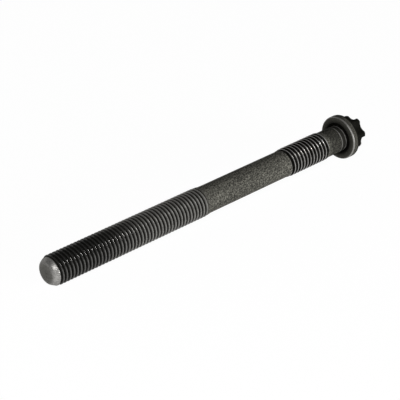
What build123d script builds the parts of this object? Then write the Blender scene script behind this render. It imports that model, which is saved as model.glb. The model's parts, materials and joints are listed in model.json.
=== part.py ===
from build123d import *
from math import atan2, cos, degrees, radians, sin
import os

# A cylinder head bolt, turned and rolled from one piece of steel.
# Lengths are in millimetres and angles in degrees.
# Stations run along the bolt's own axis: 0 at the bearing face under the head,
# negative towards the tip and positive into the head.

# Shank, from the bearing face down to the tip
under_head_length = 141.0
collar_length = 2.4
collar_diameter = 10.0
neck_length = 8.8
neck_diameter = 10.2
waist_diameter = 10.2

# Short coarse thread that centres the bolt in the cylinder head
pilot_diameter = 11.0
pilot_length = 18.0
pilot_lead_in = 2.4
pilot_run_out = 1.8

# Main thread, as the plain cylinder over its crests
thread_diameter = 11.0
thread_length = 67.5
thread_run_out = 4.5

# Rounded lead at the tip
tip_flat_diameter = 8.0
tip_chamfer_length = 2.7
tip_flat_rounding = 1.6
tip_shoulder_rounding = 2.5

# Flange, with an undercut round the shank inside its bearing ring
flange_diameter = 17.0
flange_rim_height = 3.1
flange_slope_height = 0.5
flange_land_margin = 0.25
flange_front_rounding = 0.7
flange_back_rounding = 0.5
bearing_ring_inner_diameter = 12.4
undercut_diameter = 11.6
undercut_depth = 0.9
undercut_floor_rounding = 0.3

# Six-lobed external drive
head_height = 9.2
drive_outer_diameter = 12.9
drive_hollow_diameter = 9.36
lobe_count = 6
lobe_radius = 1.1
lobe_turn = -7.0
drive_end_chamfer = 0.4
drive_end_rounding = 0.3
drive_root_rounding = 0.4

# Shallow dish in the end of the head
dish_diameter = 6.4
dish_floor_diameter = 5.2
dish_depth = 0.6
dish_rounding = 0.2

# How far the facing cut at the end of the head runs clear of the steel
cut_clearance = 1.0

# Stations worked out from the lengths
tip_station = -under_head_length
thread_start = tip_station + tip_chamfer_length
thread_end = tip_station + thread_length
waist_start = thread_end + thread_run_out
neck_start = -neck_length
pilot_end = neck_start - pilot_run_out
pilot_start = pilot_end - pilot_length
waist_end = pilot_start - pilot_lead_in
flange_top = flange_rim_height + flange_slope_height
flange_land_diameter = drive_outer_diameter + 2 * (drive_root_rounding + flange_land_margin)

# The bolt lies on the front edge of its flange and the first crest of its thread,
# so its axis dips towards the tip.
resting_tilt = degrees(
    atan2(
        (flange_diameter - thread_diameter) / 2,
        flange_front_rounding - thread_start,
    )
)
axis_direction = Vector(cos(radians(resting_tilt)), 0, sin(radians(resting_tilt)))
bolt_axis = Axis((0, 0, 0), axis_direction)
lengthwise = Plane(origin=(0, 0, 0), x_dir=axis_direction, z_dir=(0, -1, 0))
drive_base = Plane(origin=axis_direction * flange_top, x_dir=(0, 1, 0), z_dir=axis_direction)

# Half section, as (station, diameter, corner rounding)
section_corners = [
    (tip_station, 0, 0),
    (tip_station, tip_flat_diameter, tip_flat_rounding),
    (thread_start, thread_diameter, tip_shoulder_rounding),
    (thread_end, thread_diameter, 0),
    (waist_start, waist_diameter, 0),
    (waist_end, waist_diameter, 0),
    (pilot_start, pilot_diameter, 0),
    (pilot_end, pilot_diameter, 0),
    (neck_start, neck_diameter, 0),
    (-collar_length, neck_diameter, 0),
    (-collar_length, collar_diameter, 0),
    (undercut_depth, collar_diameter, undercut_floor_rounding),
    (undercut_depth, undercut_diameter, undercut_floor_rounding),
    (0, bearing_ring_inner_diameter, 0),
    (0, flange_diameter, flange_front_rounding),
    (flange_rim_height, flange_diameter, flange_back_rounding),
    (flange_top, flange_land_diameter, 0),
    (flange_top, 0, 0),
]

# Facing cut that leaves the dish and the chamfered lobe ends, in the same form
cut_diameter = drive_outer_diameter + 2 * cut_clearance
facing_corners = [
    (head_height - dish_depth, 0, 0),
    (head_height - dish_depth, dish_floor_diameter, dish_rounding),
    (head_height, dish_diameter, dish_rounding),
    (head_height, drive_outer_diameter - 2 * drive_end_chamfer, drive_end_rounding),
    (head_height - drive_end_chamfer - cut_clearance, cut_diameter, 0),
    (head_height + cut_clearance, cut_diameter, 0),
    (head_height + cut_clearance, 0, 0),
]

# Lobe and hollow arcs, each tangent to the next
half_step = 180 / lobe_count
lobe_centre = drive_outer_diameter / 2 - lobe_radius
hollow_floor = drive_hollow_diameter / 2
lobe_reach = lobe_centre * cos(radians(half_step))
hollow_radius = (lobe_centre**2 + hollow_floor**2 - lobe_radius**2 - 2 * lobe_reach * hollow_floor) / (
    2 * (lobe_radius - hollow_floor + lobe_reach)
)
hollow_centre = hollow_floor + hollow_radius
lobe_half_sweep = degrees(
    atan2(
        hollow_centre * sin(radians(half_step)),
        hollow_centre * cos(radians(half_step)) - lobe_centre,
    )
)
hollow_half_sweep = lobe_half_sweep - half_step


def half_section(corners):
    """Returns a closed half section in the plane of the bolt's axis, from its corners."""
    with BuildSketch(lengthwise) as section:
        with BuildLine():
            FilletPolyline(
                *[(station, diameter / 2) for station, diameter, _ in corners],
                radius=[rounding for _, _, rounding in corners],
                close=True,
            )
        make_face()
    return section.sketch


with BuildPart() as head_bolt:
    # Turned shank and flange
    revolve(half_section(section_corners), axis=bolt_axis)

    # Lobed drive, standing on the flange, its outline drawn lobe and hollow by turns
    with BuildSketch(drive_base):
        with BuildLine():
            for lobe in range(lobe_count):
                lobe_angle = lobe_turn + 2 * half_step * lobe
                hollow_angle = lobe_angle + half_step
                CenterArc(
                    Vector(lobe_centre, 0).rotate(Axis.Z, lobe_angle),
                    lobe_radius,
                    lobe_angle - lobe_half_sweep,
                    2 * lobe_half_sweep,
                )
                CenterArc(
                    Vector(hollow_centre, 0).rotate(Axis.Z, hollow_angle),
                    hollow_radius,
                    hollow_angle + 180 + hollow_half_sweep,
                    -2 * hollow_half_sweep,
                )
        make_face()
    extrude(amount=head_height - flange_top)

    # Rounded root where the lobes meet the flange
    drive_walls = head_bolt.faces(Select.LAST).filter_by(GeomType.CYLINDER)
    root_edges = drive_walls.edges().filter_by(GeomType.CIRCLE).group_by(bolt_axis)[0]
    fillet(root_edges, drive_root_rounding)

    # Dished and chamfered end of the head
    revolve(half_section(facing_corners), axis=bolt_axis, mode=Mode.SUBTRACT)

head_bolt.part.label = "head_bolt"

os.makedirs("parts", exist_ok=True)
export_step(head_bolt.part, "parts/head_bolt.step")
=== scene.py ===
"""Cylinder head bolt: rolled threads, waisted shank, flange and lobed drive, with their finish.

Sizes are in millimetres along the bolt's own axis: station 0 is the bearing face under the head,
negative stations run to the tip and positive ones into the head. The mesh is turned into the
frame, in metres, once it is whole.
"""

import json
import logging
import math
from dataclasses import dataclass, field, fields, replace
from enum import Enum
from typing import Any, Callable, Sequence, Union

import bmesh
import bpy
from mathutils import Matrix, Vector


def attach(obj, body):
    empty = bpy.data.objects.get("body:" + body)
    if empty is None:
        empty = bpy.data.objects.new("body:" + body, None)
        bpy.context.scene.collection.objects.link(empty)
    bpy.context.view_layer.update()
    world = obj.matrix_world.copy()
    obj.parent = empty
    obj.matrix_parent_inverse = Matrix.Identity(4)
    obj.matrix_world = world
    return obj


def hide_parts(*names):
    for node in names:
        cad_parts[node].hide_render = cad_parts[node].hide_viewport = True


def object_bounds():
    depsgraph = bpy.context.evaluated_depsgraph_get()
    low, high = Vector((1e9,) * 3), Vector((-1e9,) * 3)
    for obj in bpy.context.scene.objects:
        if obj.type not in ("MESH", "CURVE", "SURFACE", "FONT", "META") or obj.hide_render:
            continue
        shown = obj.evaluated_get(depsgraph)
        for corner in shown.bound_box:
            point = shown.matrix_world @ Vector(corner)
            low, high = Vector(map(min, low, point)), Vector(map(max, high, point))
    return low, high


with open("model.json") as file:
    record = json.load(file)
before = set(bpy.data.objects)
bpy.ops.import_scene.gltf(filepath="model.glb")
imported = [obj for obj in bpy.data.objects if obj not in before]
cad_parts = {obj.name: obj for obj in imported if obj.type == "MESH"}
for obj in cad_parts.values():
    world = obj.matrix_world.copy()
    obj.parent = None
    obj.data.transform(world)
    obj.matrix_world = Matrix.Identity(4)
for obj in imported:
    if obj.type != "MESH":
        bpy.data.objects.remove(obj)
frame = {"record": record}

CAD_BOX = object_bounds()
LOG = logging.getLogger("head_bolt")
MM = 0.001
CM3 = 1e-6
WHITE = (1.0, 1.0, 1.0, 1.0)
PHOTO_SIZE = 400

# A Mix node's sockets for colours, by index.
MIX_SHARE, MIX_FIRST, MIX_SECOND, MIX_RESULT = 0, 6, 7, 2

Colour = tuple[float, float, float]


class Hand(Enum):
    """Which way a thread winds, as the sign of its advance along the axis."""

    RIGHT = 1
    LEFT = -1


def adding(operation: str, reflected: bool = False) -> Callable[..., "Value"]:
    """Makes a method of Value, which adds a Math node.

    Args:
        operation: The node's operation.
        reflected: Whether the value comes last, as in 1 - value.

    Returns:
        The method.
    """

    def method(self: "Value", *others: "Operand") -> "Value":
        """Returns the operation's result on the value and the other operands."""
        operands = (*others, self) if reflected else (self, *others)
        return self.sheet.math(operation, *operands)

    return method


class Value:
    """A number socket that takes part in Python arithmetic by adding Math nodes.

    Operators work as they do on numbers, and comparisons give 1 or 0. The square root of a number
    below 0 is 0. least and most give the lesser and the greater of two operands, and their soft
    forms round the change between them off over a third.
    """

    def __init__(self, sheet: "Sheet", socket: bpy.types.NodeSocket) -> None:
        """Wraps a socket.

        Args:
            sheet: The sheet that the socket's node is on.
            socket: The output socket.
        """
        self.sheet = sheet
        self.socket = socket

    __add__, __radd__ = adding("ADD"), adding("ADD", reflected=True)
    __sub__, __rsub__ = adding("SUBTRACT"), adding("SUBTRACT", reflected=True)
    __mul__, __rmul__ = adding("MULTIPLY"), adding("MULTIPLY", reflected=True)
    __truediv__, __rtruediv__ = adding("DIVIDE"), adding("DIVIDE", reflected=True)
    __mod__, __rmod__ = adding("FLOORED_MODULO"), adding("FLOORED_MODULO", reflected=True)
    __lt__, __gt__, __abs__ = adding("LESS_THAN"), adding("GREATER_THAN"), adding("ABSOLUTE")
    floor, sqrt, sin, cos = adding("FLOOR"), adding("SQRT"), adding("SINE"), adding("COSINE")
    least, most = adding("MINIMUM"), adding("MAXIMUM")
    soft_least, soft_most = adding("SMOOTH_MIN"), adding("SMOOTH_MAX")


Operand = Union[Value, float, int]


@dataclass(frozen=True)
class Span:
    """A range of a value and the range that it is mapped to.

    Attributes:
        low, high: Where the range starts and ends.
        at_low, at_high: The results there.
    """

    low: float
    high: float
    at_low: float = 0.0
    at_high: float = 1.0


class Sheet:
    """A node tree, with the one method that adds nodes to it."""

    def __init__(self, tree: bpy.types.NodeTree) -> None:
        """Takes over a node tree.

        Args:
            tree: The tree to write on.
        """
        self.tree = tree

    @classmethod
    def of(cls, owner: Union[bpy.types.Material, bpy.types.World]) -> "Sheet":
        """Empties the nodes of a material or a world.

        Args:
            owner: The material or world.

        Returns:
            Its sheet.
        """
        owner.use_nodes = True
        owner.node_tree.nodes.clear()
        return cls(owner.node_tree)

    def node(self, kind: str, settings: dict[str, Any], inputs: dict[Any, Any]) -> bpy.types.Node:
        """Adds a node.

        Args:
            kind: The node's type.
            settings: Its properties, set first.
            inputs: A number, colour, name, material or link for each socket, by name or index.

        Returns:
            The node.
        """
        made = self.tree.nodes.new(kind)
        for name, setting in settings.items():
            setattr(made, name, setting)
        for key, entry in inputs.items():
            source = entry.socket if isinstance(entry, Value) else entry
            if isinstance(source, bpy.types.NodeSocket):
                self.tree.links.new(source, made.inputs[key])
            else:
                made.inputs[key].default_value = source
        return made

    def math(self, operation: str, *operands: Operand) -> Value:
        """Adds a Math node.

        Args:
            operation: The node's operation.
            operands: Its one to three operands.

        Returns:
            The result as a value.
        """
        made = self.node("ShaderNodeMath", {"operation": operation}, dict(enumerate(operands)))
        return Value(self, made.outputs[0])

    def value(self, kind: str, settings: dict[str, Any], inputs: dict[Any, Any],
              output: Any = 0) -> Value:
        """Adds a node and wraps one of its outputs.

        Args:
            kind: The node's type.
            settings: As for node.
            inputs: As for node.
            output: The output's name or index.

        Returns:
            The output as a value.
        """
        return Value(self, self.node(kind, settings, inputs).outputs[output])

    def remap(self, source: Value, span: Span, smooth: bool = False) -> Value:
        """Maps a range to another, clamped.

        Args:
            source: The value to map.
            span: The two ranges.
            smooth: Whether to ease in and out.

        Returns:
            The mapped value.
        """
        settings = {"interpolation_type": "SMOOTHSTEP" if smooth else "LINEAR", "clamp": True}
        entries = {
            "Value": source, "From Min": span.low, "From Max": span.high,
            "To Min": span.at_low, "To Max": span.at_high,
        }
        return self.value("ShaderNodeMapRange", settings, entries, "Result")


def placed(name: str, data: Any) -> bpy.types.Object:
    """Makes an object and links it to the scene.

    Args:
        name: Its name.
        data: Its mesh, light or camera.

    Returns:
        The object.
    """
    made = bpy.data.objects.new(name, data)
    bpy.context.scene.collection.objects.link(made)
    return made


@dataclass(frozen=True)
class Mark:
    """What the finish does at a corner of an outline, each from 0 to 1.

    Attributes:
        wear: How bare the steel is worn.
        grime: How dark with oil and dirt it is, and with the shade painted into grooves, hollows
            and recesses.
        grain: How coarse the phosphate has grown.
        polish: How smooth the bare steel is rubbed.
    """

    wear: float = 0.0
    grime: float = 0.0
    grain: float = 0.0
    polish: float = 0.0


MARK_NAMES = tuple(entry.name for entry in fields(Mark))


@dataclass(frozen=True)
class Corner:
    """A corner of a turned outline.

    Attributes:
        station: Place along the axis.
        radius: Distance from the axis.
        rounding: Radius of the corner's arc, 0 where it is sharp.
        mark: Its finish.
    """

    station: float
    radius: float
    rounding: float = 0.0
    mark: Mark = Mark()


@dataclass(frozen=True)
class OutlinePoint:
    """A point of a turned outline, ready for the lathe.

    Attributes:
        station: Place along the axis.
        cap: Largest distance from the axis.
        flare: How far the surface stands off the lobes where the cap lets it.
        mark: Its finish.
    """

    station: float
    cap: float
    flare: float
    mark: Mark = Mark()


# The flare of an outline that stays round, and the steps in each arc of an outline.
PLAIN = 100.0
ARC_STEPS = 4


def rounded_outline(corners: Sequence[Corner], flare: float = PLAIN) -> list[OutlinePoint]:
    """Turns corners into points, with each rounding as an arc.

    Args:
        corners: The outline's corners in order.
        flare: How far the outline stands off the lobes; PLAIN leaves it round.

    Returns:
        The outline's points.
    """
    points: list[OutlinePoint] = []
    for index, corner in enumerate(corners):
        here = Vector((corner.station, corner.radius))
        if not corner.rounding or index in (0, len(corners) - 1):
            points.append(OutlinePoint(here.x, here.y, flare, corner.mark))
            continue
        before, after = corners[index - 1], corners[index + 1]
        back = (Vector((before.station, before.radius)) - here).normalized()
        ahead = (Vector((after.station, after.radius)) - here).normalized()
        half_angle = back.angle(ahead) / 2
        middle = (back + ahead).normalized()
        centre = here + middle * (corner.rounding / math.sin(half_angle))
        start = here + back * (corner.rounding / math.tan(half_angle)) - centre
        end = here + ahead * (corner.rounding / math.tan(half_angle)) - centre
        for step in range(ARC_STEPS + 1):
            spot = centre + start.slerp(end, step / ARC_STEPS).normalized() * corner.rounding
            points.append(OutlinePoint(spot.x, spot.y, flare, corner.mark))
    return points


@dataclass
class Lattice:
    """The columns that every stretch shares, so that their end rings meet point for point.

    Attributes:
        columns: Points round the bolt.
        turn_deg: Angle of the first column about the axis, from the level, on a lobe's crest.
    """

    columns: int = 108
    turn_deg: float = 173.0


class SurfaceTree:
    """Base of the Geometry Nodes trees that lay a grid of rows and columns round the axis."""

    title = "surface"
    float_inputs: tuple[str, ...] = ()
    int_inputs: tuple[str, ...] = ("Columns",)

    def __init__(self) -> None:
        """Builds the tree with its named inputs."""
        self.tree = bpy.data.node_groups.new(self.title, "GeometryNodeTree")
        self.sheet = Sheet(self.tree)
        face = self.tree.interface
        face.new_socket("Geometry", in_out="INPUT", socket_type="NodeSocketGeometry")
        face.new_socket("Geometry", in_out="OUTPUT", socket_type="NodeSocketGeometry")
        for name in self.float_inputs:
            face.new_socket(name, in_out="INPUT", socket_type="NodeSocketFloat")
        for name in self.int_inputs:
            face.new_socket(name, in_out="INPUT", socket_type="NodeSocketInt")
        face.new_socket("Material", in_out="INPUT", socket_type="NodeSocketMaterial")
        self.entry = self.sheet.node("NodeGroupInput", {}, {})
        self.build()

    def given(self, name: str) -> Value:
        """Returns a named input as a value."""
        return Value(self.sheet, self.entry.outputs[name])

    def build(self) -> None:
        """Adds the tree's nodes."""
        raise NotImplementedError

    def grid(self, rows: Operand) -> tuple[bpy.types.NodeSocket, Value, Value]:
        """Adds the grid, one column wider than the bolt has so that its edges meet.

        Args:
            rows: Number of rows.

        Returns:
            The grid's geometry, and each point's row and column.
        """
        across = self.given("Columns") + 1
        counts = {"Vertices X": rows, "Vertices Y": across}
        mesh = self.sheet.node("GeometryNodeMeshGrid", {}, counts)
        index = self.sheet.value("GeometryNodeInputIndex", {}, {})
        row = ((index + 0.5) / across).floor()
        return mesh.outputs["Mesh"], row, index - row * across

    def column_angle(self, column: Value) -> Value:
        """Returns a column's angle about the axis, in radians."""
        return self.given("Turn") + column * (2 * math.pi) / self.given("Columns")

    def finish(self, mesh: bpy.types.NodeSocket, station: Value, radius: Value, angle: Value,
               marks: dict[str, Operand]) -> None:
        """Places the grid's points, closes its seam and sets its material.

        Args:
            mesh: The grid's geometry.
            station: Each point's place along the axis.
            radius: Its distance from the axis.
            angle: Its angle about the axis.
            marks: What the finish reads at each point, by attribute name.
        """
        place = self.sheet.node("ShaderNodeCombineXYZ", {}, {
            "X": station, "Y": radius * angle.cos(), "Z": radius * angle.sin(),
        })
        flow = mesh
        for name, mark in marks.items():
            stored = self.sheet.node(
                "GeometryNodeStoreNamedAttribute",
                {"data_type": "FLOAT", "domain": "POINT"},
                {"Geometry": flow, "Name": name, "Value": mark},
            )
            flow = stored.outputs["Geometry"]
        steps: tuple[tuple[str, dict[str, Any]], ...] = (
            ("GeometryNodeSetPosition", {"Position": place.outputs["Vector"]}),
            ("GeometryNodeMergeByDistance", {"Distance": self.given("Weld")}),
            ("GeometryNodeFlipFaces", {}),
            ("GeometryNodeRealizeInstances", {}),
            ("GeometryNodeSetMaterial", {"Material": self.given("Material")}),
        )
        for kind, inputs in steps:
            step = self.sheet.node(kind, {}, inputs)
            self.tree.links.new(flow, step.inputs[0])
            flow = step.outputs[0]
        self.sheet.node("NodeGroupOutput", {}, {"Geometry": flow})

    def run(self, name: str, outline: Sequence[OutlinePoint],
            inputs: dict[str, Any]) -> bpy.types.Mesh:
        """Runs the tree on an outline.

        Args:
            name: The resulting mesh's name.
            outline: The outline's points, the tree's Geometry input.
            inputs: The named inputs' values.

        Returns:
            A plain mesh, in bolt coordinates.
        """
        line = bpy.data.meshes.new(name)
        line.from_pydata([(p.station, p.flare, p.cap) for p in outline], [], [])
        for mark in MARK_NAMES:
            attribute = line.attributes.new(mark, "FLOAT", "POINT")
            attribute.data.foreach_set("value", [getattr(p.mark, mark) for p in outline])
        carrier = placed(name, line)
        modifier = carrier.modifiers.new(self.title, "NODES")
        modifier.node_group = self.tree
        for item in self.tree.interface.items_tree:
            if item.item_type == "SOCKET" and item.in_out == "INPUT" and item.name in inputs:
                modifier[item.identifier] = inputs[item.name]
        graph = bpy.context.evaluated_depsgraph_get()
        made = bpy.data.meshes.new_from_object(carrier.evaluated_get(graph))
        bpy.data.objects.remove(carrier)
        bpy.data.meshes.remove(line)
        return made


class TurnedTree(SurfaceTree):
    """Turns an outline round the axis, and draws it in to six-fold lobes where it has them."""

    title = "turned surface"
    float_inputs = (
        "Turn", "Weld", "Lobe Centre", "Lobe Radius", "Hollow Centre", "Hollow Radius",
        "Lobe Reach", "Edge Blend",
    )
    int_inputs = ("Columns", "Lobes")

    def build(self) -> None:
        """Adds the tree's nodes."""
        sheet = self.sheet
        outline = self.entry.outputs["Geometry"]
        rows = sheet.value(
            "GeometryNodeAttributeDomainSize", {"component": "MESH"}, {"Geometry": outline},
            "Point Count",
        )
        mesh, row, column = self.grid(rows)
        angle = self.column_angle(column)
        position = sheet.node("GeometryNodeInputPosition", {}, {})
        spot = sheet.node(
            "GeometryNodeSampleIndex", {"data_type": "FLOAT_VECTOR", "domain": "POINT"},
            {"Geometry": outline, "Value": position.outputs[0], "Index": row},
        )
        parts = sheet.node("ShaderNodeSeparateXYZ", {}, {"Vector": spot.outputs[0]})
        station, flare, cap = (Value(sheet, socket) for socket in parts.outputs)
        lobed = (self.lobe(angle) + flare).soft_least(cap, self.given("Edge Blend"))
        plain = flare > PLAIN / 2
        radius = plain * cap + (1 - plain) * lobed
        crest = self.given("Lobe Centre") + self.given("Lobe Radius")
        floor = self.given("Hollow Centre") - self.given("Hollow Radius")
        # Painted shade: each lobe's hollow is darkened towards its floor, through the grime mark.
        hollow = (1 - plain) * ((crest - lobed) / (crest - floor)).most(0.0).least(1.0)
        marks = {name: self.sampled(name, outline, row) for name in MARK_NAMES}
        marks["grime"] = marks["grime"].most(hollow)
        marks["station"] = station
        self.finish(mesh, station, radius, angle, marks)

    def sampled(self, name: str, outline: bpy.types.NodeSocket, row: Value) -> Value:
        """Reads a mark of the outline.

        Args:
            name: The mark's name.
            outline: The outline's geometry.
            row: The outline's point.

        Returns:
            The mark's value there.
        """
        kind = {"data_type": "FLOAT"}
        named = self.sheet.node("GeometryNodeInputNamedAttribute", kind, {"Name": name})
        return self.sheet.value(
            "GeometryNodeSampleIndex", {**kind, "domain": "POINT"},
            {"Geometry": outline, "Value": named.outputs[0], "Index": row},
        )

    def lobe(self, angle: Value) -> Value:
        """Draws the lobes with arcs for crest and hollow, which touch without a corner.

        Args:
            angle: Each point's angle about the axis.

        Returns:
            The lobes' distance from the axis there.
        """
        step = 2 * math.pi / self.given("Lobes")
        off_crest = abs((angle - self.given("Turn") + step / 2) % step - step / 2)
        off_hollow = step / 2 - off_crest
        centre, round_crest = self.given("Lobe Centre"), self.given("Lobe Radius")
        crest = centre * off_crest.cos() + (
            round_crest * round_crest - centre * centre * off_crest.sin() * off_crest.sin()
        ).sqrt()
        far, round_hollow = self.given("Hollow Centre"), self.given("Hollow Radius")
        hollow = far * off_hollow.cos() - (
            round_hollow * round_hollow - far * far * off_hollow.sin() * off_hollow.sin()
        ).sqrt()
        on_crest = off_crest < self.given("Lobe Reach")
        return on_crest * crest + (1 - on_crest) * hollow


class ThreadTree(SurfaceTree):
    """Winds a rolled thread round the axis, with its rows laid along the helix."""

    title = "rolled thread"
    float_inputs = (
        "Turn", "Weld", "Start", "End", "First Crest", "Pitch", "Hand", "Start Radius",
        "Crest Radius", "End Radius", "Lead In", "Run Out", "Shoulder Blend", "Groove Start",
        "Groove Opening", "Groove End", "Groove Closing", "Depth", "Crest Share", "Flank Share",
        "Root Blend", "Crowding", "Crest Wear", "Lead Wear", "Groove Grime", "Grime Reach",
        "Grime Start", "Crest Polish",
    )
    int_inputs = ("Columns", "Rows", "Rows Per Turn")

    def build(self) -> None:
        """Adds the tree's nodes."""
        sheet, given = self.sheet, self.given
        mesh, row, column = self.grid(given("Rows"))
        angle = self.column_angle(column)
        share = row / given("Rows Per Turn")
        phase = share % 1.0
        crowded = share - given("Crowding") * (phase * (4 * math.pi)).sin() / (4 * math.pi)
        wound = given("Hand") * column / given("Columns")
        along = given("First Crest") + given("Pitch") * (crowded + wound)
        start, end = given("Start"), given("End")
        station = along.most(start).least(end)
        lead = given("Start Radius") + (station - start) * (
            (given("Crest Radius") - given("Start Radius")) / given("Lead In")
        )
        fall = given("End Radius") + self.ease((end - station) / given("Run Out")) * (
            given("Crest Radius") - given("End Radius")
        )
        envelope = lead.soft_least(given("Crest Radius"), given("Shoulder Blend")).least(fall)
        off_crest = phase.least(1 - phase)
        slope = (off_crest - given("Crest Share") / 2) / given("Flank Share")
        cut = slope.soft_least(1.0, given("Root Blend")).soft_most(0.0, given("Root Blend"))
        opening = self.ease((station - given("Groove Start")) / given("Groove Opening"))
        closing = self.ease((given("Groove End") - station) / given("Groove Closing"))
        groove = cut * opening * closing
        radius = envelope - given("Depth") * groove
        lead_wear = given("Lead Wear") * (1 - opening)
        # The groove is painted dark down its flanks: dirt and painted shade together.
        soil_and_shade = (groove * given("Grime Reach") - given("Grime Start")).most(0.0).least(1.0)
        self.finish(mesh, station, radius, angle, {
            "station": station,
            "wear": (lead_wear + given("Crest Wear") * (1 - cut) * opening) * closing,
            "grime": given("Groove Grime") * soil_and_shade,
            "grain": 1 - closing * (lead_wear + opening),
            "polish": given("Crest Polish"),
        })

    def ease(self, source: Value) -> Value:
        """Returns 0 below 0, 1 above 1 and an eased rise between."""
        held = source.most(0.0).least(1.0)
        return held * held * (3 - 2 * held)


@dataclass
class RolledThread:
    """A rolled thread, with the cone that leads on to it and its run-out.

    Each field but name and flank_angle_deg sets the tree's input of the same name.

    Attributes:
        name: What the stretch is called.
        start, end: Stations where its lead-in starts and its run-out ends.
        start_radius, end_radius: Radii there.
        crest_radius: Radius over the crests.
        pitch: Advance in one turn.
        depth: From crest to root.
        lead_in, run_out: Lengths of the lead-in cone and of the fade at the end.
        groove_start, groove_opening: Station where the groove opens, and over what length.
        groove_end, groove_closing: Station where it closes, and over what length.
        first_crest: Station of a crest on the lattice's first column.
        crest_share: Width of the crest, as a share of the pitch.
        crest_wear: How bare its crests are worn.
        grime_start: How far down the groove its dirt and painted shade hold off, as a share of the
            darkness.
        grime_reach: How fast they then come on down the flanks.
        groove_grime: How dark the groove is painted with dirt and shade.
        lead_wear: How bare the lead-in is worn.
        crest_polish: How smooth what is worn is rubbed.
        shoulder_blend: Rounding where the lead-in reaches the crests.
        root_blend: Rounding of crest and root, as a share of the flank.
        flank_angle_deg: From a flank to a plane square to the axis.
        crowding: How far the mesh's rows crowd at crest and root.
        rows_per_turn: Rows of the mesh in one pitch.
        hand: Which way it winds.
    """

    name: str
    start: float
    end: float
    start_radius: float
    end_radius: float
    crest_radius: float
    pitch: float
    depth: float
    lead_in: float
    run_out: float
    groove_start: float
    groove_opening: float
    groove_end: float
    groove_closing: float
    first_crest: float
    crest_share: float
    crest_wear: float
    grime_start: float
    grime_reach: float
    groove_grime: float = 1.0
    lead_wear: float = 0.0
    crest_polish: float = 1.0
    shoulder_blend: float = 0.25
    root_blend: float = 0.3
    flank_angle_deg: float = 30.0
    crowding: float = 0.4
    rows_per_turn: int = 12
    hand: Hand = Hand.RIGHT

    def mesh(self, tree: ThreadTree, lattice: Lattice, common: dict[str, Any]) -> bpy.types.Mesh:
        """Makes the stretch's surface.

        Args:
            tree: The thread tree.
            lattice: The columns that the stretches share.
            common: Inputs that every stretch takes.

        Returns:
            The mesh, in bolt coordinates.
        """
        turns_before = math.ceil((self.first_crest - self.start) / self.pitch) + 1
        anchor = self.first_crest - turns_before * self.pitch
        rows = math.ceil((self.end - anchor) / self.pitch * self.rows_per_turn) + self.rows_per_turn
        names = [entry.name for entry in fields(self)]
        inputs = {name.replace("_", " ").title(): getattr(self, name) for name in names}
        inputs.update({
            **common,
            "First Crest": anchor,
            "Hand": float(self.hand.value),
            "Flank Share": self.depth * math.tan(math.radians(self.flank_angle_deg)) / self.pitch,
            "Columns": lattice.columns,
            "Rows": rows,
        })
        return tree.run(self.name, [OutlinePoint(self.start, self.start_radius, PLAIN)], inputs)


@dataclass
class LobedDrive:
    """The outline of the external lobed drive.

    Attributes:
        outer_radius, floor_radius: To the crest of a lobe and to the floor of a hollow.
        lobe_radius: Of a lobe's crest.
        lobes: Their number.
        edge_blend: Rounding between the lobes and a turned outline that cuts them.
    """

    outer_radius: float = 6.45
    floor_radius: float = 4.68
    lobe_radius: float = 1.1
    lobes: int = 6
    edge_blend: float = 0.35

    def inputs(self) -> dict[str, Any]:
        """Works out the tangent arcs of crest and hollow.

        Returns:
            The turned tree's inputs for the lobes.
        """
        half_step = math.pi / self.lobes
        centre = self.outer_radius - self.lobe_radius
        reach = centre * math.cos(half_step)
        hollow_radius = (
            centre**2 + self.floor_radius**2 - self.lobe_radius**2 - 2 * reach * self.floor_radius
        ) / (2 * (self.lobe_radius - self.floor_radius + reach))
        far = self.floor_radius + hollow_radius
        sweep = math.atan2(far * math.sin(half_step), far * math.cos(half_step) - centre)
        touch = math.atan2(
            self.lobe_radius * math.sin(sweep), centre + self.lobe_radius * math.cos(sweep)
        )
        return {
            "Lobes": self.lobes,
            "Lobe Centre": centre,
            "Lobe Radius": self.lobe_radius,
            "Hollow Centre": far,
            "Hollow Radius": hollow_radius,
            "Lobe Reach": touch,
            "Edge Blend": self.edge_blend,
        }


@dataclass
class BoltSizes:
    """Stations and radii of the bolt, as in the solid that the mesh stands for."""

    under_head_length: float = 141.0
    collar_length: float = 2.4
    collar_radius: float = 5.0
    neck_length: float = 8.8
    shank_radius: float = 5.1
    thread_radius: float = 5.5
    pilot_length: float = 18.0
    pilot_lead_in: float = 2.4
    pilot_run_out: float = 1.8
    thread_length: float = 67.5
    thread_run_out: float = 4.5
    tip_flat_radius: float = 4.0
    tip_chamfer_length: float = 2.7
    tip_flat_rounding: float = 1.6
    flange_radius: float = 8.5
    flange_rim_height: float = 3.1
    flange_slope_height: float = 0.5
    flange_land_radius: float = 7.1
    flange_front_rounding: float = 0.7
    flange_back_rounding: float = 0.5
    bearing_ring_inner_radius: float = 6.2
    undercut_radius: float = 5.8
    undercut_depth: float = 0.9
    undercut_floor_rounding: float = 0.3
    head_height: float = 9.2
    drive_end_chamfer: float = 0.4
    drive_end_rounding: float = 0.3
    drive_root_rounding: float = 0.4
    dish_radius: float = 3.2
    dish_floor_radius: float = 2.6
    dish_depth: float = 0.6
    dish_rounding: float = 0.2

    @property
    def tip(self) -> float:
        """Station of the tip."""
        return -self.under_head_length

    @property
    def flange_top(self) -> float:
        """Station of the flat on the flange round the drive."""
        return self.flange_rim_height + self.flange_slope_height


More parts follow.
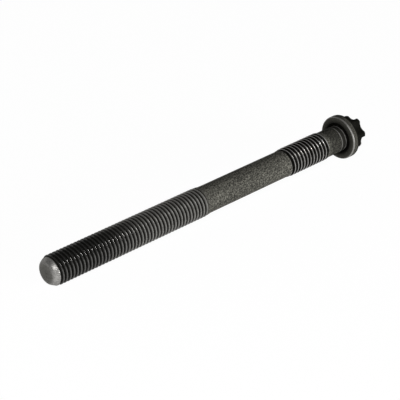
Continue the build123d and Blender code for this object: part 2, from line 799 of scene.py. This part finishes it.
@dataclass
class HeadBolt:
    """The whole bolt, as one closed mesh.

    Attributes:
        sizes, drive, lattice: Its sizes, its drive, and the columns of its mesh.
        wear_fade: Length over which wear turns into coat.
        ring_width: Width of the rubbed rings on the collar's edges, worn steel that also paints in
            their highlight lines.
        neck_fade: Length over which the neck grows darker than the shank.
        rim_shade: Width of the band of painted shade at the back of the flange's rim.
        tip_wear, tip_flat_wear: How bare the tip's cone and its flat are.
        tip_wear_power: How close to the flat's edge its wear stays.
        tip_polish: How smooth the tip is rubbed.
        waist_rows: Rows of the mesh between the threads.
        weld, shell_weld: Distances at which points merge, in a stretch and between stretches.
        needle_length: Length under which an edge is dissolved.
        sharp_angle_deg: Angle over which an edge shades sharp.
        main_pitch, main_depth, main_first_crest: As in the main thread.
        main_groove_start, main_groove_end: From the tip, and past the thread's full length.
        pilot_pitch, pilot_depth, pilot_first_crest: As in the centring thread.
        pilot_groove_lead, pilot_groove_lag: How far the groove reaches into lead-in and run-out.
    """

    sizes: BoltSizes = field(default_factory=BoltSizes)
    drive: LobedDrive = field(default_factory=LobedDrive)
    lattice: Lattice = field(default_factory=Lattice)
    wear_fade: float = 0.15
    ring_width: float = 0.3
    neck_fade: float = 1.0
    rim_shade: float = 0.7
    tip_wear: float = 0.52
    tip_flat_wear: float = 0.1
    tip_wear_power: float = 6.0
    tip_polish: float = 0.6
    waist_rows: int = 6
    weld: float = 0.002
    shell_weld: float = 0.004
    needle_length: float = 0.0004
    sharp_angle_deg: float = 50.0
    main_pitch: float = 1.5
    main_depth: float = 0.92
    main_first_crest: float = -100.0
    main_groove_start: float = 1.7
    main_groove_end: float = 2.1
    pilot_pitch: float = 1.67
    pilot_depth: float = 0.85
    pilot_first_crest: float = -30.143
    pilot_groove_lead: float = 1.7
    pilot_groove_lag: float = 0.6

    def tip_outline(self) -> list[OutlinePoint]:
        """Draws the tip.

        Returns:
            Its outline, from the axis to where the thread's lead-in starts.
        """
        s = self.sizes
        outline = rounded_outline([
            Corner(s.tip, 0.0),
            Corner(s.tip, s.tip_flat_radius, s.tip_flat_rounding),
            Corner(s.tip + s.tip_chamfer_length, s.thread_radius),
        ])[:-1]
        rise = self.tip_wear - self.tip_flat_wear
        points = []
        for point in outline:
            share = min(point.cap / s.tip_flat_radius, 1.0) ** self.tip_wear_power
            mark = Mark(wear=self.tip_flat_wear + rise * share, polish=self.tip_polish)
            points.append(replace(point, mark=mark))
        return points

    def head_outline(self) -> list[OutlinePoint]:
        """Draws the head.

        Returns:
            The outline from the neck round the flange and the drive to the middle of the end.
        """
        s = self.sizes
        fade, ring = self.wear_fade, self.ring_width
        # dark is painted shade on the collar by the flange and at the undercut's mouth.
        coarse, neck, dark = Mark(grain=1.0), Mark(grain=1.0, grime=0.6), Mark(grime=0.8)
        # black is painted shade at the back of the flange's rim and over the drive; pit is painted
        # shade down in the undercut.
        rubbed, black_shade, pit_shade = Mark(wear=0.35), Mark(grime=0.97), Mark(grime=1.0)
        # line is worn steel on the flange's front rounding that also paints its highlight line.
        face, line = Mark(grime=0.2), Mark(wear=0.45, polish=1.0)
        rim_front, rim_back = Mark(grime=0.4, grain=0.4), Mark(grime=0.3, grain=0.4)
        shade = s.flange_rim_height - self.rim_shade
        points = rounded_outline([
            Corner(-s.neck_length, s.shank_radius, mark=coarse),
            Corner(-s.neck_length + self.neck_fade, s.shank_radius, mark=neck),
            Corner(-s.collar_length - ring - fade, s.shank_radius, mark=neck),
            # Rubbed rings: worn steel that also paints the highlight lines at the collar's step and
            # at its end by the flange.
            Corner(-s.collar_length - ring, s.shank_radius, mark=rubbed),
            Corner(-s.collar_length - fade, s.shank_radius, mark=rubbed),
            Corner(-s.collar_length, s.collar_radius, mark=rubbed),
            Corner(-s.collar_length + fade, s.collar_radius, mark=dark),
            Corner(-2 * ring - fade, s.collar_radius, mark=dark),
            Corner(-2 * ring, s.collar_radius, mark=rubbed),
            Corner(-ring, s.collar_radius, mark=rubbed),
            Corner(-ring + fade, s.collar_radius, mark=pit_shade),
            Corner(s.undercut_depth, s.collar_radius, s.undercut_floor_rounding, pit_shade),
            Corner(s.undercut_depth, s.undercut_radius, s.undercut_floor_rounding, pit_shade),
            Corner(0.0, s.bearing_ring_inner_radius, mark=dark),
            Corner(0.0, s.flange_radius - s.flange_front_rounding - fade, mark=face),
            Corner(0.0, s.flange_radius, s.flange_front_rounding, line),
            Corner(s.flange_front_rounding + fade, s.flange_radius, mark=rim_front),
            Corner(shade - fade, s.flange_radius, mark=rim_back),
            Corner(shade, s.flange_radius, mark=black_shade),
            Corner(s.flange_rim_height, s.flange_radius, s.flange_back_rounding, black_shade),
            Corner(s.flange_top, s.flange_land_radius, mark=black_shade),
        ])
        # Worn only in the middle of the arc, where the highlight falls, so that the band paints a
        # narrow highlight line as well as wear.
        rounding = [index for index, point in enumerate(points) if point.mark is line]
        for index in rounding[:2] + rounding[-1:]:
            points[index] = replace(points[index], mark=face)
        for step in range(ARC_STEPS + 1):
            angle = math.pi / 2 * step / ARC_STEPS
            flare = s.drive_root_rounding * (1 - math.sin(angle))
            rise = s.drive_root_rounding * (1 - math.cos(angle))
            points.append(OutlinePoint(s.flange_top + rise, s.flange_land_radius, flare, black_shade))
        wall_radius = self.drive.outer_radius + s.drive_end_rounding
        end_radius = self.drive.outer_radius - s.drive_end_chamfer
        dish_floor = s.head_height - s.dish_depth
        end = rounded_outline([
            Corner(s.flange_top + s.drive_root_rounding, wall_radius),
            Corner(s.head_height - s.drive_end_chamfer - s.drive_end_rounding, wall_radius,
                   s.drive_end_rounding, black_shade),
            Corner(s.head_height, end_radius, s.drive_end_rounding, Mark(wear=0.3, grime=0.3)),
            Corner(s.head_height, s.dish_radius),
        ], 0.0)
        points += end[1:-1]
        points += rounded_outline([
            Corner(s.head_height, s.dish_radius + s.dish_rounding, mark=Mark(wear=0.2)),
            Corner(s.head_height, s.dish_radius, s.dish_rounding, Mark(wear=0.3)),
            Corner(dish_floor, s.dish_floor_radius, s.dish_rounding, Mark(grime=0.4)),
            Corner(dish_floor, 0.0, mark=Mark(grime=0.3)),
        ])
        return points

    def threads(self) -> tuple[RolledThread, RolledThread]:
        """Sets the threads out between the turned stretches.

        Returns:
            The main thread and the centring thread.
        """
        s = self.sizes
        tip_ring = self.tip_outline()[-1]
        pilot_end = -s.neck_length
        pilot_start = pilot_end - s.pilot_run_out - s.pilot_length - s.pilot_lead_in
        main = RolledThread(
            name="main_thread",
            start=tip_ring.station,
            end=s.tip + s.thread_length + s.thread_run_out,
            start_radius=tip_ring.cap,
            end_radius=s.shank_radius,
            crest_radius=s.thread_radius,
            pitch=self.main_pitch,
            depth=self.main_depth,
            lead_in=s.tip + s.tip_chamfer_length - tip_ring.station,
            run_out=s.thread_run_out,
            groove_start=s.tip + self.main_groove_start,
            groove_opening=1.2,
            groove_end=s.tip + s.thread_length + self.main_groove_end,
            groove_closing=2.2,
            first_crest=self.main_first_crest,
            crest_share=0.16,
            crest_wear=0.45,
            grime_start=0.6,
            grime_reach=3.0,
            groove_grime=0.95,
            lead_wear=self.tip_wear,
        )
        pilot = RolledThread(
            name="centring_thread",
            start=pilot_start,
            end=pilot_end,
            start_radius=s.shank_radius,
            end_radius=s.shank_radius,
            crest_radius=s.thread_radius,
            pitch=self.pilot_pitch,
            depth=self.pilot_depth,
            lead_in=s.pilot_lead_in,
            run_out=s.pilot_run_out,
            groove_start=pilot_start + s.pilot_lead_in - self.pilot_groove_lead,
            groove_opening=0.5,
            groove_end=pilot_end - s.pilot_run_out + self.pilot_groove_lag,
            groove_closing=0.5,
            first_crest=self.pilot_first_crest,
            crest_share=0.15,
            crest_wear=0.9,
            grime_start=0.3,
            grime_reach=6.0,
            shoulder_blend=0.08,
            root_blend=0.4,
        )
        return main, pilot

    def build(self, material: bpy.types.Material) -> bpy.types.Object:
        """Makes the bolt.

        Args:
            material: Its finish.

        Returns:
            The bolt's object, in the frame.
        """
        s = self.sizes
        turned, wound = TurnedTree(), ThreadTree()
        turn = math.radians(self.lattice.turn_deg)
        common = {"Turn": turn, "Weld": self.weld, "Material": material}
        lobed = {**common, **self.drive.inputs(), "Columns": self.lattice.columns}
        main, pilot = self.threads()
        waist = [
            OutlinePoint(
                main.end + (pilot.start - main.end) * step / self.waist_rows,
                s.shank_radius, PLAIN, Mark(grain=1.0),
            )
            for step in range(self.waist_rows + 1)
        ]
        stretches = [
            turned.run("tip", self.tip_outline(), lobed),
            main.mesh(wound, self.lattice, common),
            turned.run("waist", waist, lobed),
            pilot.mesh(wound, self.lattice, common),
            turned.run("head", self.head_outline(), lobed),
        ]
        shell = bmesh.new()
        for stretch in stretches:
            shell.from_mesh(stretch)
            bpy.data.meshes.remove(stretch)
        bmesh.ops.remove_doubles(shell, verts=shell.verts, dist=self.shell_weld)
        bmesh.ops.dissolve_degenerate(shell, edges=shell.edges, dist=self.needle_length)
        bmesh.ops.recalc_face_normals(shell, faces=shell.faces)
        open_edges = sum(1 for edge in shell.edges if not edge.is_manifold)
        shell.transform(self.into_frame())
        volume = shell.calc_volume(signed=True)
        mesh = bpy.data.meshes.new("head_bolt_surface")
        shell.to_mesh(mesh)
        shell.free()
        mesh.materials.clear()
        mesh.materials.append(material)
        mesh.shade_smooth()
        mesh.set_sharp_from_angle(angle=math.radians(self.sharp_angle_deg))
        bolt = placed("head_bolt_steel", mesh)
        triangles = sum(len(face.vertices) - 2 for face in mesh.polygons)
        LOG.info("bolt: %d triangles, %d open edges, %.3f cm3", triangles, open_edges, volume / CM3)
        return bolt

    @staticmethod
    def into_frame() -> Matrix:
        """Works out from the bearing face's mount how the bolt lies.

        Returns:
            The move from bolt coordinates into the frame, with its scale.
        """
        seat = next(m for m in frame["record"]["mounts"] if m["name"] == "bearing_face")
        along = -Vector(seat["axis"]).normalized()
        across = Vector((0.0, 1.0, 0.0))
        up = along.cross(across)
        turn = Matrix((along, across, up)).transposed().to_4x4()
        return Matrix.Translation(seat["pos_m"]) @ turn @ Matrix.Scale(MM, 4)


@dataclass(frozen=True)
class Noise:
    """A noise pattern.

    Attributes:
        scale: Its scale, per metre.
        detail: Its octaves.
    """

    scale: float
    detail: float


@dataclass(frozen=True)
class PhosphatedSteel:
    """Black phosphated steel: dull and dark, grainy on the shank, bare and brighter where worn,
    with dirt and painted shade darkening grooves and hollows.

    Attributes:
        coat, dust, soot: Colours of the phosphate and of its paler and darker grains.
        bare: Colour of the steel where it is worn through.
        oil: Colour of the thread near the tip, which is dark with oil.
        grime: Colour of the dirt in grooves, also used as the painted shade of grooves, hollows and
            recesses.
        oil_start, oil_edge: Station where the oil starts, past the bare lead, and its fade before.
        oil_from, oil_to: Stations up to which the oil is full, and where it ends.
        oil_cover: How much of the coat's colour it takes.
        oil_hides: How much of the wear it takes.
        oil_sheen: How much more like metal the wear looks in it.
        specks, grains, blotches, patches: The noise patterns, from fine to broad.
        speck_share: What the specks add to the grains' pattern.
        patch_gain: How much lighter than the coat its patches are.
        light_patches: Where the patches are light.
        wear_by_grains: How much of the wear each grain shows.
        soil_and_shade_by_blotches: How much of the dirt and painted shade each blotch shows.
        pale_grains, dark_grains: Where the grains are pale and dark.
        pale_smooth, dark_smooth: How much they show on the smooth coat.
        pale_coarse, dark_coarse: How much more they show where it is coarse.
        coat_roughness, grain_roughness: Of the smooth and the coarse coat.
        bare_roughness, polished_roughness: Of worn steel, as rubbed and as polished.
        oil_roughness, grime_roughness: Of oil, and of dirt and painted shade.
        roughness_spread: How far the grains vary it.
        coat_metallic, bare_metallic: How much coat and steel look like metal.
        speck_height: Height of the specks in the relief, against the grains.
        smooth_relief, coarse_relief: Relief of the smooth coat, and what coarse coat adds.
        relief_strength, relief_height: The bump's strength, and its height in metres.
        specular: The coat's specular level.
        edge_tint: How its reflection is tinted.
        seed: Which noise is drawn.
    """

    coat: Colour = (0.085, 0.083, 0.072)
    dust: Colour = (0.24, 0.235, 0.2)
    soot: Colour = (0.02, 0.02, 0.018)
    bare: Colour = (0.6, 0.59, 0.575)
    oil: Colour = (0.016, 0.016, 0.015)
    grime: Colour = (0.005, 0.005, 0.004)
    oil_start: float = -138.3
    oil_edge: float = 0.8
    oil_from: float = -124.0
    oil_to: float = -96.0
    oil_cover: float = 0.9
    oil_hides: float = 0.5
    oil_sheen: float = 5.0
    specks: Noise = Noise(3400.0, 1.0)
    grains: Noise = Noise(1900.0, 2.0)
    blotches: Noise = Noise(300.0, 3.0)
    patches: Noise = Noise(60.0, 3.0)
    speck_share: float = 0.35
    patch_gain: float = 1.4
    light_patches: Span = Span(0.35, 0.65, 0.0, 0.6)
    wear_by_grains: Span = Span(0.3, 0.55, 0.6, 1.0)
    soil_and_shade_by_blotches: Span = Span(0.35, 0.6, 0.95, 1.0)
    pale_grains: Span = Span(0.52, 0.6)
    dark_grains: Span = Span(0.5, 0.4)
    pale_smooth: float = 0.15
    dark_smooth: float = 0.25
    pale_coarse: float = 0.7
    dark_coarse: float = 0.65
    coat_roughness: float = 0.5
    grain_roughness: float = 0.65
    bare_roughness: float = 0.32
    polished_roughness: float = 0.16
    oil_roughness: float = 0.15
    grime_roughness: float = 0.85
    roughness_spread: float = 0.2
    coat_metallic: float = 0.2
    bare_metallic: float = 0.95
    speck_height: float = 0.4
    smooth_relief: float = 0.1
    coarse_relief: float = 0.9
    relief_strength: float = 0.5
    relief_height: float = 0.00012
    specular: float = 0.03
    edge_tint: Colour = (0.4, 0.4, 0.4)
    seed: float = 3.0

    def material(self) -> bpy.types.Material:
        """Makes the material.

        Returns:
            The finished material.
        """
        made = bpy.data.materials.new("phosphated_steel")
        sheet = Sheet.of(made)
        place = sheet.node("ShaderNodeTexCoord", {}, {}).outputs["Object"]
        wear, grime, grain, polish, station = (
            self.mark(sheet, name) for name in (*MARK_NAMES, "station")
        )
        specks, grains, blotches, patches = (
            self.noise(sheet, place, noise)
            for noise in (self.specks, self.grains, self.blotches, self.patches)
        )
        oiled = sheet.remap(station, Span(self.oil_from, self.oil_to, 1.0, 0.0), smooth=True)
        oiled = oiled * sheet.remap(station, Span(self.oil_start - self.oil_edge, self.oil_start))
        bared = wear * sheet.remap(grains, self.wear_by_grains) * (1 - self.oil_hides * oiled)
        # The grime mark is dirt and painted shade together: it paints the dark of grooves, drive
        # hollows, the undercut and the back of the rim.
        soiled_and_shaded = grime * sheet.remap(blotches, self.soil_and_shade_by_blotches)
        salt = specks * self.speck_share + grains * (1 - self.speck_share)
        pale = sheet.remap(salt, self.pale_grains) * (self.pale_smooth + self.pale_coarse * grain)
        dark = sheet.remap(salt, self.dark_grains) * (self.dark_smooth + self.dark_coarse * grain)
        colour, lighter = self.coat, tuple(self.patch_gain * part for part in self.coat)
        for share, layer in (
            (sheet.remap(patches, self.light_patches), lighter),
            (pale, self.dust),
            (dark, self.soot),
            (oiled * self.oil_cover, self.oil),
            (bared, self.bare),
            (soiled_and_shaded, self.grime),
        ):
            colour = self.blend(sheet, share, colour, layer)
        dull = grain * (self.grain_roughness - self.coat_roughness) + self.coat_roughness
        dull = dull + oiled * (self.oil_roughness - dull)
        polish = polish.most(oiled)
        shine = self.bare_roughness + polish * (self.polished_roughness - self.bare_roughness)
        roughness = bared * (shine - dull) + dull + (grains - 0.5) * self.roughness_spread
        roughness = roughness + soiled_and_shaded * (self.grime_roughness - roughness)
        relief = self.smooth_relief + self.coarse_relief * grain
        relief = (specks * self.speck_height + grains) * relief
        bump = sheet.node("ShaderNodeBump", {}, {
            "Strength": self.relief_strength, "Distance": self.relief_height, "Height": relief,
        })
        metal = (bared * (1 + self.oil_sheen * oiled)).least(1.0)
        metallic = metal * (self.bare_metallic - self.coat_metallic) + self.coat_metallic
        shader = sheet.node("ShaderNodeBsdfPrincipled", {}, {
            "Base Color": colour,
            "Roughness": roughness,
            "Metallic": metallic * (1 - soiled_and_shaded),
            "Specular IOR Level": self.specular,
            "Specular Tint": (*self.edge_tint, 1.0),
            "Normal": bump.outputs["Normal"],
        })
        sheet.node("ShaderNodeOutputMaterial", {}, {"Surface": shader.outputs["BSDF"]})
        return made

    @staticmethod
    def mark(sheet: Sheet, name: str) -> Value:
        """Returns a stored attribute of the mesh as a value."""
        settings = {"attribute_type": "GEOMETRY", "attribute_name": name}
        return sheet.value("ShaderNodeAttribute", settings, {}, "Fac")

    def noise(self, sheet: Sheet, place: bpy.types.NodeSocket, noise: Noise) -> Value:
        """Adds a noise pattern.

        Args:
            sheet: The material's sheet.
            place: The coordinates that it reads.
            noise: Its scale and detail.

        Returns:
            The noise, from 0 to 1.
        """
        return sheet.value(
            "ShaderNodeTexNoise", {"noise_dimensions": "4D"},
            {"Vector": place, "W": self.seed, "Scale": noise.scale, "Detail": noise.detail},
        )

    @staticmethod
    def blend(sheet: Sheet, share: Value, first: Any, second: Any) -> bpy.types.NodeSocket:
        """Mixes two colours.

        Args:
            sheet: The material's sheet.
            share: How much of the second colour.
            first: The first colour or its link.
            second: The second colour or its link.

        Returns:
            The mixed colour's socket.
        """
        entries: dict[Any, Any] = {MIX_SHARE: share}
        for key, entry in ((MIX_FIRST, first), (MIX_SECOND, second)):
            entries[key] = (*entry, 1.0) if isinstance(entry, tuple) else entry
        return sheet.node("ShaderNodeMix", {"data_type": "RGBA"}, entries).outputs[MIX_RESULT]


@dataclass(frozen=True)
class FloorPaint:
    """Pale matt paint, which shows as plain white and keeps the bolt's shadow.

    Attributes:
        colour, roughness: The paint.
        glow: How much of the look is a plain glow.
        glow_strength: Strength at which the glow and the lit paint add up to white.
    """

    colour: Colour = (0.8, 0.8, 0.8)
    roughness: float = 0.6
    glow: float = 0.9
    glow_strength: float = 1.07

    def material(self) -> bpy.types.Material:
        """Makes the material.

        Returns:
            The finished material.
        """
        made = bpy.data.materials.new("pale_floor")
        sheet = Sheet.of(made)
        paint = sheet.node("ShaderNodeBsdfPrincipled", {}, {
            "Base Color": (*self.colour, 1.0), "Roughness": self.roughness,
        })
        glow = sheet.node("ShaderNodeEmission", {}, {
            "Color": WHITE, "Strength": self.glow_strength,
        })
        rays = sheet.node("ShaderNodeLightPath", {}, {}).outputs
        camera, glossy, passed = (
            Value(sheet, rays[f"Is {kind} Ray"]) for kind in ("Camera", "Glossy", "Transmission")
        )
        seen = camera.most(glossy).most(passed)
        mixed = sheet.node("ShaderNodeMixShader", {}, {
            0: seen * self.glow, 1: paint.outputs[0], 2: glow.outputs[0],
        })
        sheet.node("ShaderNodeOutputMaterial", {}, {"Surface": mixed.outputs[0]})
        return made


@dataclass
class Lamp:
    """A soft area lamp that faces a point on the bolt.

    Attributes:
        name: What it is called.
        azimuth_deg: Where it stands, as for the camera.
        elevation_deg: Its height over the horizon.
        distance: From the bolt's middle, in metres.
        width: Its level side, in metres.
        height: Its other side.
        power: In watts.
    """

    name: str
    azimuth_deg: float
    elevation_deg: float
    distance: float
    width: float
    height: float
    power: float


def outward(azimuth_deg: float, elevation_deg: float) -> Vector:
    """Returns the direction from the bolt towards a viewer.

    Args:
        azimuth_deg: 0 looks along +Y, with +X to the right.
        elevation_deg: Height over the horizon.

    Returns:
        A unit vector.
    """
    azimuth, elevation = math.radians(azimuth_deg), math.radians(elevation_deg)
    level = math.cos(elevation)
    return Vector((math.sin(azimuth) * level, -math.cos(azimuth) * level, math.sin(elevation)))


@dataclass
class Studio:
    """Floor, light and camera.

    Attributes:
        azimuth_deg, elevation_deg: Where the camera stands.
        focal_px: Focal length in pixels of the photograph's frame.
        distance: From the camera to the aim, along its axis, in metres.
        aim_station: Station on the bolt's axis that the camera is set out from, in mm.
        aim_px: Where that station shows in the photograph's frame.
        sensor: Width of the camera's sensor, in mm.
        clip_start: Where the camera starts to see, in metres.
        floor_size: Side of the floor, in metres.
        floor_paint: The floor's finish.
        wall_strength, ceiling_strength: Light from the world's wall and ceiling.
        wall_top_deg, wall_fade_deg: Where the wall ends, and the angle over which it fades.
        lamps: The lamps.
    """

    azimuth_deg: float = -42.85
    elevation_deg: float = 28.1
    focal_px: float = 1537.0
    distance: float = 0.5465
    aim_station: float = -71.7
    aim_px: tuple[float, float] = (200.14, 201.8)
    sensor: float = 36.0
    clip_start: float = 0.01
    floor_size: float = 6.0
    floor_paint: FloorPaint = FloorPaint()
    wall_strength: float = 0.4
    ceiling_strength: float = 0.03
    wall_top_deg: float = 8.0
    wall_fade_deg: float = 10.0
    lamps: tuple[Lamp, ...] = (
        Lamp("upper_key", -48.1, 41.5, 0.935, 0.16, 0.12, 1.8),
        Lamp("lower_key", -41.5, 31.5, 0.935, 0.16, 0.12, 1.2),
        Lamp("front", 15.0, 7.0, 1.1, 1.0, 0.26, 9.5),
        Lamp("back", 180.0, 20.0, 1.4, 2.0, 0.9, 3.0),
    )

    def build(self) -> None:
        """Makes the floor, the lamps, the world and the camera."""
        low, high = CAD_BOX
        self.make_floor(low.z)
        for lamp in self.lamps:
            self.make_lamp(lamp, (low + high) / 2)
        self.make_world()
        self.make_camera()
        bpy.context.scene.view_settings.view_transform = "Standard"

    def make_floor(self, height: float) -> None:
        """Makes the floor.

        Args:
            height: Its height in the frame.
        """
        half = self.floor_size / 2
        sides = ((-half, -half), (half, -half), (half, half), (-half, half))
        mesh = bpy.data.meshes.new("floor")
        mesh.from_pydata([(*corner, height) for corner in sides], [], [(0, 1, 2, 3)])
        mesh.materials.append(self.floor_paint.material())
        floor = placed("floor", mesh)

    def make_lamp(self, lamp: Lamp, middle: Vector) -> None:
        """Makes a lamp.

        Args:
            lamp: The lamp's settings.
            middle: The point that it faces.
        """
        data = bpy.data.lights.new(lamp.name, "AREA")
        data.shape = "RECTANGLE"
        data.size, data.size_y = lamp.width, lamp.height
        data.energy = lamp.power
        direction = outward(lamp.azimuth_deg, lamp.elevation_deg)
        made = placed(lamp.name, data)
        made.location = middle + direction * lamp.distance
        made.rotation_mode = "QUATERNION"
        made.rotation_quaternion = (-direction).to_track_quat("-Z", "Y")

    def make_world(self) -> None:
        """Makes the world: a white wall all round, under a dark ceiling."""
        world = bpy.data.worlds.new("studio")
        sheet = Sheet.of(world)
        direction = sheet.node("ShaderNodeTexCoord", {}, {}).outputs["Generated"]
        height = sheet.value("ShaderNodeSeparateXYZ", {}, {"Vector": direction}, "Z")
        low, high = (
            math.sin(math.radians(angle))
            for angle in (self.wall_top_deg, self.wall_top_deg + self.wall_fade_deg)
        )
        fall = Span(low, high, self.wall_strength, self.ceiling_strength)
        strength = sheet.remap(height, fall, smooth=True)
        sky = sheet.node("ShaderNodeBackground", {}, {"Color": WHITE, "Strength": strength})
        sheet.node("ShaderNodeOutputWorld", {}, {"Surface": sky.outputs[0]})
        bpy.context.scene.world = world

    def make_camera(self) -> None:
        """Makes the camera at the photograph's viewing angle."""
        back = outward(self.azimuth_deg, self.elevation_deg)
        turn = (-back).to_track_quat("-Z", "Y")
        right, up = turn @ Vector((1.0, 0.0, 0.0)), turn @ Vector((0.0, 1.0, 0.0))
        aim = HeadBolt.into_frame() @ Vector((self.aim_station, 0.0, 0.0))
        across = (self.aim_px[0] - PHOTO_SIZE / 2) / self.focal_px * self.distance
        down = (self.aim_px[1] - PHOTO_SIZE / 2) / self.focal_px * self.distance
        data = bpy.data.cameras.new("camera")
        data.sensor_width = self.sensor
        data.lens = self.sensor * self.focal_px / PHOTO_SIZE
        data.clip_start = self.clip_start
        camera = placed("camera", data)
        camera.rotation_mode = "QUATERNION"
        camera.rotation_quaternion = turn
        camera.location = aim + back * self.distance - right * across + up * down
        bpy.context.scene.camera = camera


def main() -> None:
    """Builds the bolt and the studio."""
    logging.basicConfig(level=logging.INFO, format="%(name)s: %(message)s")
    finish = PhosphatedSteel().material()
    bolt = HeadBolt().build(finish)
    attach(bolt, "root")
    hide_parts("head_bolt")
    LOG.info("piece: %s", bolt.name)
    Studio().build()
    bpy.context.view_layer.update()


if __name__ == "__main__":
    main()
